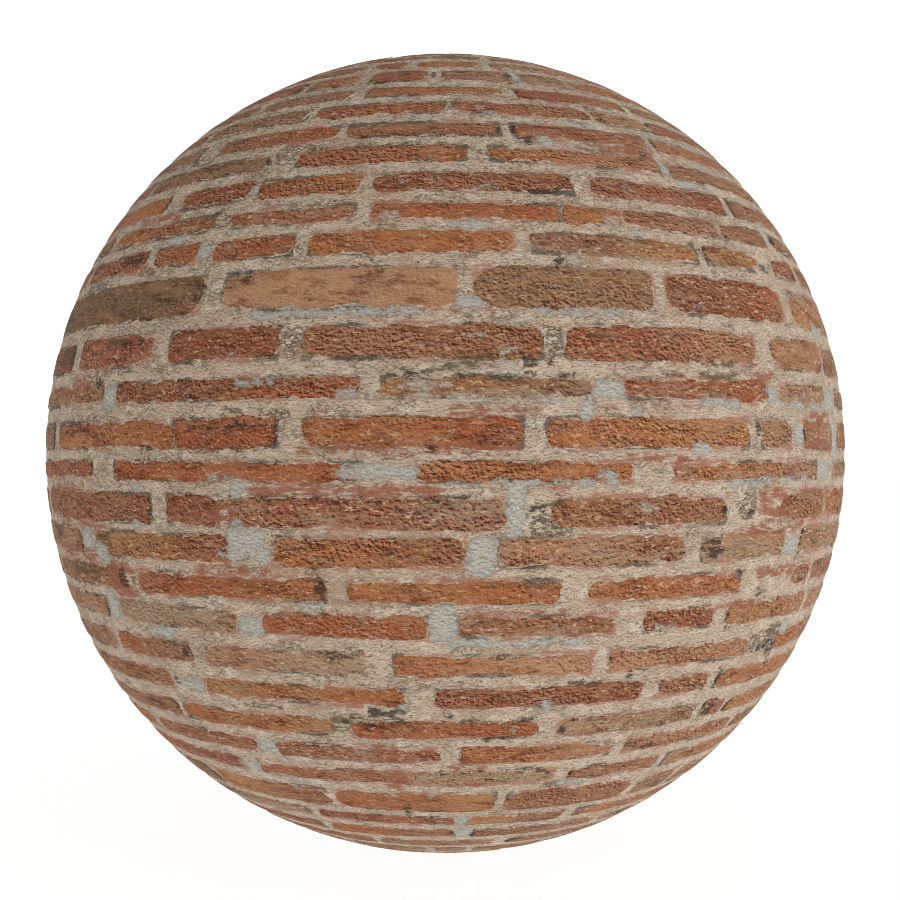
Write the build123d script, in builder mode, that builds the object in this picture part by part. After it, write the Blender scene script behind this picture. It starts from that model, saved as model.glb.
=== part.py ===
from build123d import *

import os
from math import acos, cos, degrees, pi, sin, sqrt

# A ball of old thin-brick masonry that stands on a small flat bedding face.
# Millimetres, +Z up, origin at the centre of the bedding face, symmetric about Z.
# Every brick is laid like an arch stone: its beds point at the middle of the ball,
# so each course is a ring with conical beds and a face that follows the sphere.

# Overall form
BALL_DIAMETER = 1400.0
FOOT_DIAMETER = 320.0

# Depths of the masonry, measured inwards from the face of the ball
BRICK_DEPTH = 140.0
BACKING_MORTAR = 20.0

# How far the joints are washed back, which is also how far the arrises of the bricks are worn round
JOINT_RECESS = 3.0

# Heights along the curved face: the foot, and the crown from its edge to the top of the ball
FOOT_HEIGHT = 46.0
CROWN_REACH = 109.0

# The courses from the foot up: the mortar bed under each one, then the height of its bricks.
# The bricks were made by hand, so every course has a height of its own. Only the beds give way:
# the mason opens or tightens all of them alike until the last one meets the crown.
BEDS_AND_BRICKS = [
    (21.0, 33.0), (21.0, 38.0), (22.0, 33.0), (22.0, 33.0),
    (22.0, 31.0), (19.0, 53.0), (22.0, 32.0), (21.0, 32.0),
    (19.0, 32.0), (26.0, 31.0), (21.0, 34.0), (25.0, 32.0),
    (17.0, 34.0), (16.0, 40.0), (12.0, 42.0), (19.0, 26.0),
    (18.0, 40.0), (25.0, 30.0), (22.0, 47.0), (22.0, 60.0),
    (21.0, 34.0), (18.0, 30.0), (19.0, 36.0), (22.0, 33.0),
    (22.0, 34.0), (22.0, 34.0), (21.0, 30.0), (24.0, 47.0),
    (21.0, 39.0), (21.0, 32.0), (20.0, 32.0), (21.0, 33.0),
    (21.0, 31.0),
]
CROWN_BED = 20.0

# Fired clay from one kiln load to the next, and lime mortar
CLAYS = [Color(0.55, 0.25, 0.16), Color(0.45, 0.20, 0.15), Color(0.60, 0.34, 0.23)]
LIME = Color(0.62, 0.55, 0.49)

# Sizes that follow from the ones above
FACE = BALL_DIAMETER / 2
JOINT_FACE = FACE - JOINT_RECESS
BRICK_BACK = FACE - BRICK_DEPTH
CORE = BRICK_BACK - BACKING_MORTAR
FOOT_RADIUS = FOOT_DIAMETER / 2
CENTRE_HEIGHT = sqrt(FACE**2 - FOOT_RADIUS**2)

# Places on the face, as heights along it above the equator
POLE = FACE * pi / 2
CROWN_EDGE = POLE - CROWN_REACH
FOOT_EDGE = -FACE * acos(FOOT_RADIUS / FACE)
FOOT_TOP = FOOT_EDGE + FOOT_HEIGHT

# How much wider than drawn the beds are laid, so that the courses just fill the face
BRICKWORK = sum(brick for bed, brick in BEDS_AND_BRICKS)
MORTAR_BEDS = CROWN_BED + sum(bed for bed, brick in BEDS_AND_BRICKS)
BED_SPREAD = (CROWN_EDGE - FOOT_TOP - BRICKWORK) / MORTAR_BEDS


def place(radius, height):
    """Point of the half section on the sphere of this radius, in line with a height along the face."""
    latitude = height / FACE
    return (radius * cos(latitude), CENTRE_HEIGHT + radius * sin(latitude))


def arc_along(radius, low, high):
    """Arc of the half section on the sphere of this radius, from one height along the face to another."""
    start = degrees(low / FACE)
    return CenterArc((0, CENTRE_HEIGHT), radius, start, degrees(high / FACE) - start)


def wedge(inner, outer, low, high):
    """Half section between two spheres and two beds, both beds in line with the middle of the ball."""
    with BuildSketch() as section:
        with BuildLine():
            back = arc_along(inner, low, high)
            face = arc_along(outer, low, high)
            Line(back @ 0, face @ 0)
            Line(back @ 1, face @ 1)
        make_face()
    return section.sketch


def lay_courses():
    """Lower and upper edge of every course along the face, laid in turn from the foot up."""
    courses = []
    laid = FOOT_TOP
    for bed, brick in BEDS_AND_BRICKS:
        low = laid + bed * BED_SPREAD
        laid = low + brick
        courses.append((low, laid))
    return courses


def keep(piece, name, colour):
    """Name a finished piece and write it."""
    piece.label = name
    piece.color = colour
    export_step(piece, f"parts/{name}.step")


os.makedirs("parts", exist_ok=True)
COURSES = lay_courses()

# Foot: one block of bricks bedded flat underneath, cut as a cone where the first course springs from it
with BuildPart() as foot_course:
    with BuildSketch(Plane.XZ) as section:
        with BuildLine():
            foot_face = arc_along(FACE, FOOT_EDGE, FOOT_TOP)
            foot_back = arc_along(CORE, -POLE, FOOT_TOP)
            Line(foot_face @ 1, foot_back @ 1)
            Polyline(foot_back @ 0, (0, 0), foot_face @ 0)
        make_face()
        fillet(section.vertices().sort_by(Axis.X)[-1], JOINT_RECESS)
    revolve(axis=Axis.Z)
keep(foot_course.part, "foot_course", CLAYS[1])

# Courses: tapered rings of bricks, each with its own height and its face arrises worn round
for number, (low, high) in enumerate(COURSES, start=1):
    with BuildPart() as brick_course:
        with BuildSketch(Plane.XZ) as section:
            add(wedge(BRICK_BACK, FACE, low, high))
            fillet(section.vertices().sort_by_distance((0, CENTRE_HEIGHT))[-2:], JOINT_RECESS)
        revolve(axis=Axis.Z)
    keep(brick_course.part, f"brick_course_{number:02d}", CLAYS[number % len(CLAYS)])

# Crown: a plug of bricks that locks the top course, tapered like a keystone down to the core
with BuildPart() as crown_closer:
    with BuildSketch(Plane.XZ) as section:
        add(wedge(CORE, FACE, CROWN_EDGE, POLE))
        fillet(section.vertices().sort_by(Axis.X)[-1], JOINT_RECESS)
    revolve(axis=Axis.Z)
keep(crown_closer.part, "crown_closer", CLAYS[0])

# Mortar: a shell behind the bricks with a tapered tongue in every bed joint, washed back from the face
with BuildPart() as joint_mortar:
    with BuildSketch(Plane.XZ):
        add(wedge(CORE, JOINT_FACE, FOOT_TOP, CROWN_EDGE))
        for low, high in COURSES:
            add(wedge(BRICK_BACK, FACE, low, high), mode=Mode.SUBTRACT)
    revolve(axis=Axis.Z)
keep(joint_mortar.part, "joint_mortar", LIME)

# Core: brick rubble packed in mortar, filling the ball behind the courses
with BuildPart() as rubble_core:
    with Locations((0, 0, CENTRE_HEIGHT)):
        Sphere(CORE)
keep(rubble_core.part, "rubble_core", LIME)
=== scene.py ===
import logging
import math
from collections.abc import Iterable, Iterator
from contextlib import contextmanager
from dataclasses import dataclass, replace
from enum import Enum

import bpy
import numpy as np
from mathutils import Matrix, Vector


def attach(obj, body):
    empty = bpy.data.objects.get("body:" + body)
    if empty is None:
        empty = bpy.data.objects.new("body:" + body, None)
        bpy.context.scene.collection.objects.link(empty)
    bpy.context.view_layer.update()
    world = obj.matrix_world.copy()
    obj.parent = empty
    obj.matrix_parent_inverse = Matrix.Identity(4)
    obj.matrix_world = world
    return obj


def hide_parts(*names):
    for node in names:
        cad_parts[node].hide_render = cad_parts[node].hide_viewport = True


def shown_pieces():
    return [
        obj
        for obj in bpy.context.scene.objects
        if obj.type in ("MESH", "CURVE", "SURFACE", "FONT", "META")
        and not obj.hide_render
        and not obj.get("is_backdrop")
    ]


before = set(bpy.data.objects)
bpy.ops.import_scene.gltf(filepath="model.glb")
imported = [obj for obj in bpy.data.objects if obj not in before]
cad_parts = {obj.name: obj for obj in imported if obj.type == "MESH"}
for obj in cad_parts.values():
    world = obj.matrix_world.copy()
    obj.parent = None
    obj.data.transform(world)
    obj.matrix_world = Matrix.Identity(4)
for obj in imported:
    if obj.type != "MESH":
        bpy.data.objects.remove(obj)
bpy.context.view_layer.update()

log = logging.getLogger("brick_ball")

Socket = bpy.types.NodeSocket
Screen = tuple[int, int, int]
Span = tuple[float, float]
Triple = tuple[float, float, float]
Patch = tuple[float, float, float, float]

# Lengths are in millimetres and angles in degrees. What goes to Blender is in metres, and so are the sizes of the
# stage and the depths of the finishes' relief.
MM = 0.001
FACE = 700.0
FOOT_RADIUS = 160.0
FOOT_HEIGHT = 46.0
CENTRE_HEIGHT = math.sqrt(FACE**2 - FOOT_RADIUS**2)
MM_PER_DEGREE = FACE * math.pi / 180
FOOT_EDGE = -math.degrees(math.asin(CENTRE_HEIGHT / FACE))
FOOT_TOP = FOOT_EDGE + FOOT_HEIGHT / MM_PER_DEGREE
# The most that the distance from a mark, and from a brick, is told as.
CLEAR_OF_MARKS = 30.0
CLEAR_OF_BRICKS = 20.0
# Height of the bed joint below each course, and of its bricks, from the foot up.
BEDS_AND_BRICKS = (
    (21, 33), (21, 38), (22, 33), (22, 33), (22, 31), (19, 53), (22, 32), (21, 32), (19, 32), (26, 31), (21, 34),
    (25, 32), (17, 34), (16, 40), (12, 42), (19, 26), (18, 40), (25, 30), (22, 47), (22, 60), (21, 34), (18, 30),
    (19, 36), (22, 33), (22, 34), (22, 34), (21, 30), (24, 47), (21, 39), (21, 32), (20, 32), (21, 33), (21, 31),
)


class Clay(Enum):
    """Body colours of the old bricks."""

    ORANGE_RED = (162, 88, 54)
    ORANGE = (172, 104, 62)
    DARK_RED = (138, 74, 52)
    RED = (154, 86, 62)
    RED_BROWN = (150, 98, 70)
    SALMON = (184, 140, 106)
    BROWN = (142, 108, 82)
    OLIVE = (116, 90, 66)
    GREY_BUFF = (164, 140, 114)
    DUSTY = (166, 126, 98)
    PINK = (172, 120, 92)
    PURPLE = (142, 98, 80)
    TAN = (174, 120, 76)


class Mark(Enum):
    """Stains and leavings on the masonry."""

    LIME = "lime"
    CREAM = "cream"
    SOOT = "soot"
    MOSS = "moss"
    BLUSH = "blush"
    BUFF = "buff"
    SCRAWL = "scrawl"


UNMARKED = {kind.value: CLEAR_OF_MARKS for kind in Mark}


@dataclass(frozen=True)
class Laid:
    """One brick in a course: where it starts and ends round the ball, its clay and its habits.

    Habits are letters: l and r round the left or right end, L and R taper it, k and K blacken it,
    o outlines the brick in soot and painted contact shade, d dusts it with lime, p pits it, s leaves it smooth.
    """

    start: float
    end: float
    clay: Clay
    habits: str = ""
    fading_to: Clay | None = None


C = Clay
# The bricks of each course that the photograph shows, from left to right, in the order of Laid's own fields.
FRONT_BRICKS: dict[int, tuple[tuple, ...]] = {
    1: ((-40, -8, C.BROWN, "d"), (-4, 22, C.DUSTY, "d"), (28, 55, C.BROWN, "d")),
    2: ((-55, -33, C.BROWN, "d"), (-30, -6, C.BROWN, "d"), (-3, 6, C.PURPLE, "d"), (9, 31, C.RED_BROWN, "d"),
        (35, 60, C.BROWN, "d")),
    3: ((-46, -19.6, C.RED_BROWN, "o"), (-17, 11.8, C.RED_BROWN, "d"), (16.5, 45, C.BROWN, "kd")),
    4: ((-53, -29.5, C.DARK_RED, "ro"), (-27, 1.6, C.ORANGE, "K", C.RED_BROWN),
        (6.2, 36.5, C.RED_BROWN, "k", C.DUSTY), (39.5, 62, C.BROWN, "d")),
    5: ((-60, -28.3, C.OLIVE, "d", C.GREY_BUFF), (-26.2, 1.6, C.DARK_RED, "po", C.RED),
        (4.3, 24, C.TAN, "l", C.RED_BROWN), (27.2, 56, C.ORANGE, "Ll", C.BROWN)),
    6: ((-70, -49, C.BROWN, "K"), (-47, -21, C.TAN, "r", C.RED_BROWN), (-19.6, 8.7, C.ORANGE, "lrs", C.TAN),
        (10.6, 35.4, C.RED_BROWN, "lrp"), (37.7, 47.2, C.BROWN, "K"), (49, 70, C.RED_BROWN, "d")),
    7: ((-63, -35.3, C.ORANGE_RED, "K", C.DARK_RED), (-31.4, -5, C.RED, "L", C.PINK), (-4.9, 17, C.GREY_BUFF, "rod"),
        (20, 37, C.RED_BROWN, "k", C.PINK), (39, 66, C.TAN, "k")),
    8: ((-66, -55.2, C.ORANGE), (-52.6, -29.1, C.RED_BROWN, "rp"), (-25.6, -0.3, C.RED, "Rd"),
        (2.2, 25.4, C.ORANGE, "R", C.PINK), (27.7, 52.2, C.PINK, "kp"), (54, 76, C.BROWN, "k")),
    9: ((-69, -42.4, C.DUSTY, "K", C.RED_BROWN), (-41, -15.2, C.ORANGE, "lr", C.TAN),
        (-12.7, 12.8, C.ORANGE_RED, "ro"), (15.6, 38.4, C.DUSTY, "lod", C.BROWN), (40.2, 45, C.RED_BROWN, "k"),
        (46.3, 72, C.TAN, "k", C.DUSTY)),
    10: ((-66, -40.6, C.RED_BROWN, "p"), (-33.6, -5, C.TAN, "", C.ORANGE), (-1.3, 26.4, C.DARK_RED, "p"),
        (29.2, 37.8, C.RED_BROWN, "kp"), (39.9, 70, C.ORANGE, "kl", C.TAN)),
    11: ((-68, -51.2, C.RED, "", C.DUSTY), (-50, -34, C.ORANGE, "K", C.BROWN),
        (-31.5, -9.6, C.DUSTY, "d", C.GREY_BUFF), (-6.2, 18, C.ORANGE, "ro", C.SALMON), (20.5, 43.8, C.PINK, "kKp"),
        (51.6, 74, C.ORANGE)),
    12: ((-67, -49.8, C.DUSTY, "K"), (-46.2, -25.6, C.GREY_BUFF), (-21.8, -2, C.ORANGE_RED),
        (1.3, 20, C.RED_BROWN, "Rd"), (24, 34.6, C.DARK_RED, "pR"), (37.1, 56.6, C.TAN, "k", C.PINK),
        (58.3, 76, C.DUSTY, "d")),
    13: ((-66, -43, C.BROWN, "Kp", C.RED_BROWN), (-40.3, -13.4, C.ORANGE_RED, "r", C.ORANGE), (-11, 13, C.ORANGE),
        (16.4, 38, C.ORANGE, "Lr"), (50, 55.2, C.RED_BROWN, "lr"), (56.6, 78, C.RED_BROWN, "l")),
    14: ((-72, -52.8, C.DUSTY, "K"), (-48.5, -25, C.TAN, "lp", C.DARK_RED), (-19.4, 2.1, C.ORANGE, "p", C.RED_BROWN),
        (5.9, 28.3, C.PINK, "rpd", C.RED_BROWN), (30.6, 45.8, C.GREY_BUFF, "kd", C.DUSTY), (50, 74, C.DUSTY, "kd")),
    15: ((-65.6, -36, C.RED_BROWN, "plK", C.DARK_RED), (-33.4, -25.9, C.DARK_RED),
        (-24.6, 6.3, C.RED, "dp", C.PURPLE), (11.5, 33.9, C.RED_BROWN, "pr"), (44, 56, C.RED_BROWN, "Lp"),
        (57, 78, C.ORANGE_RED, "L")),
    16: ((-70, -47.6, C.RED, "K"), (-42.6, -9, C.ORANGE_RED, "Rl"), (-3, 20.6, C.ORANGE, "pR"),
        (26, 53, C.ORANGE, "pL", C.DUSTY), (59.5, 78, C.BROWN, "ld")),
    17: ((-74, -61.3, C.BROWN, "K"), (-58.8, -32.1, C.ORANGE, "lo"), (-31.9, -18.4, C.ORANGE_RED, "oK"),
        (-15.4, 8.3, C.ORANGE, "r", C.ORANGE_RED), (10.8, 37.4, C.ORANGE, "lp", C.TAN), (39.7, 46, C.DUSTY, "p"),
        (49.2, 59, C.RED_BROWN, "kd"), (62, 78, C.RED_BROWN)),
    18: ((-72, -45.6, C.RED_BROWN, "Kd"), (-42.7, -9.3, C.DARK_RED, "pR", C.ORANGE_RED),
        (-6.8, 16, C.TAN, "dR", C.BROWN), (20, 41.6, C.RED, "r", C.ORANGE_RED), (43.9, 57, C.DUSTY, "ld"),
        (62.2, 80, C.OLIVE, "d")),
    19: ((-72, -56.3, C.OLIVE, "K", C.DARK_RED), (-53.7, -36.9, C.RED, "Rk"), (-34, -18.7, C.DARK_RED),
        (-15.8, 10.8, C.RED_BROWN, "p"), (13.2, 40, C.RED, "pR", C.PINK), (43.4, 58, C.TAN, "Lk", C.PINK),
        (59, 80, C.PURPLE)),
    20: ((-72, -30.3, C.OLIVE, "rKs"), (-27.2, 1.2, C.SALMON, "Ls"), (3.3, 25.2, C.BROWN, "lp"),
        (27.2, 48.9, C.DARK_RED, "pr", C.ORANGE_RED), (51.5, 76, C.TAN, "ld", C.DUSTY)),
    21: ((-76, -62.6, C.PURPLE, "r"), (-61.2, -43.2, C.RED, "rp"), (-41.2, -33, C.ORANGE_RED, "p"),
        (-30.4, -18.8, C.ORANGE_RED, "r"), (-16.6, 8, C.ORANGE, "r"), (10.3, 33.6, C.PURPLE, "ld", C.TAN),
        (35.2, 46.4, C.TAN, "kR"), (50.3, 58.6, C.RED, "LK"), (60.6, 80, C.RED_BROWN)),
    22: ((-72, -58.4, C.RED_BROWN, "K"), (-55.4, -32, C.ORANGE, "kR", C.RED_BROWN), (-29, -11.3, C.RED, "dr"),
        (-9.2, 14.4, C.ORANGE_RED), (15, 23.1, C.ORANGE), (23.4, 39.6, C.RED_BROWN, "p", C.DUSTY),
        (40.7, 52.4, C.RED_BROWN, "k"), (55, 78, C.PURPLE, "k")),
    23: ((-76, -44.6, C.RED_BROWN, "K", C.ORANGE), (-40.8, -27.8, C.DARK_RED, "pl"),
        (-26.3, -11, C.ORANGE_RED, "pr", C.ORANGE), (-9.7, 17.3, C.DARK_RED, "plR"), (20, 44.6, C.RED, "kp"),
        (46.4, 70, C.RED_BROWN, "k", C.TAN)),
    24: ((-72, -56, C.RED_BROWN), (-54.6, -27, C.BROWN, "oK"), (-22, 3, C.ORANGE_RED, "lrp", C.ORANGE),
        (6.3, 34, C.ORANGE, "lp", C.PINK), (36, 64, C.RED_BROWN, "p", C.PINK)),
    25: ((-72, -45.4, C.BROWN, "p"), (-40, -17, C.RED_BROWN, "r", C.ORANGE_RED), (-15.5, 8.5, C.RED_BROWN, "loK"),
        (10.3, 34.6, C.RED, "k", C.RED_BROWN), (36.3, 62, C.ORANGE, "k", C.RED_BROWN)),
    26: ((-70, -50.3, C.RED_BROWN), (-48.4, -24.7, C.BROWN, "p"), (-22.8, 0.2, C.ORANGE_RED, "lp"),
        (1.2, 25.8, C.RED, "lp", C.RED_BROWN), (27.1, 38.6, C.DUSTY, "kp"), (39.6, 60, C.RED, "kp")),
    27: ((-64, -40.8, C.RED_BROWN, "r"), (-38.8, -18, C.BROWN, "r", C.PURPLE), (-15.1, 10.8, C.ORANGE, "R", C.TAN),
        (13.5, 37.6, C.RED, "k", C.ORANGE), (40, 62, C.BROWN, "d")),
    28: ((-58, -33.6, C.DARK_RED, "rK"), (-31.6, -19.6, C.RED_BROWN, "r", C.ORANGE), (-16.5, -4, C.RED, "o"),
        (-0.6, 14.6, C.PURPLE, "dK"), (17, 28, C.PURPLE, "d", C.BROWN), (29.2, 55, C.ORANGE, "L", C.RED_BROWN)),
    29: ((-52, -21.4, C.DARK_RED, "r", C.RED_BROWN), (-18.6, -10.2, C.RED_BROWN), (-7, 8.7, C.TAN, "", C.RED_BROWN),
        (12, 23, C.BROWN, "d"), (24.6, 52, C.PINK, "", C.BROWN)),
    30: ((-46, -28, C.BROWN, "d"), (-26, -6, C.RED_BROWN), (-3, 11, C.BROWN, "d"), (14.5, 27, C.RED_BROWN, "d"),
        (31, 56, C.BROWN, "d")),
    31: ((-50, -22, C.BROWN, "d"), (-17, 11, C.OLIVE, "d"), (17, 50, C.BROWN, "d")),
    32: ((-44, -4, C.BROWN, "d"), (4, 42, C.DUSTY, "d")),
    33: ((-62, -8, C.BROWN, "d"), (2, 52, C.OLIVE, "d")),
}
# How often a brick round the back is of each clay and has each habit.
BACK_CLAYS = {
    C.ORANGE_RED: 15, C.ORANGE: 15, C.RED: 12, C.RED_BROWN: 16, C.DARK_RED: 12, C.BROWN: 10, C.DUSTY: 8, C.PINK: 6,
    C.TAN: 7, C.SALMON: 2, C.PURPLE: 4, C.OLIVE: 3, C.GREY_BUFF: 3,
}
BACK_HABITS = {"l": 0.4, "r": 0.4, "k": 0.2, "K": 0.2, "o": 0.15, "p": 0.4, "d": 0.25}

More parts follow.
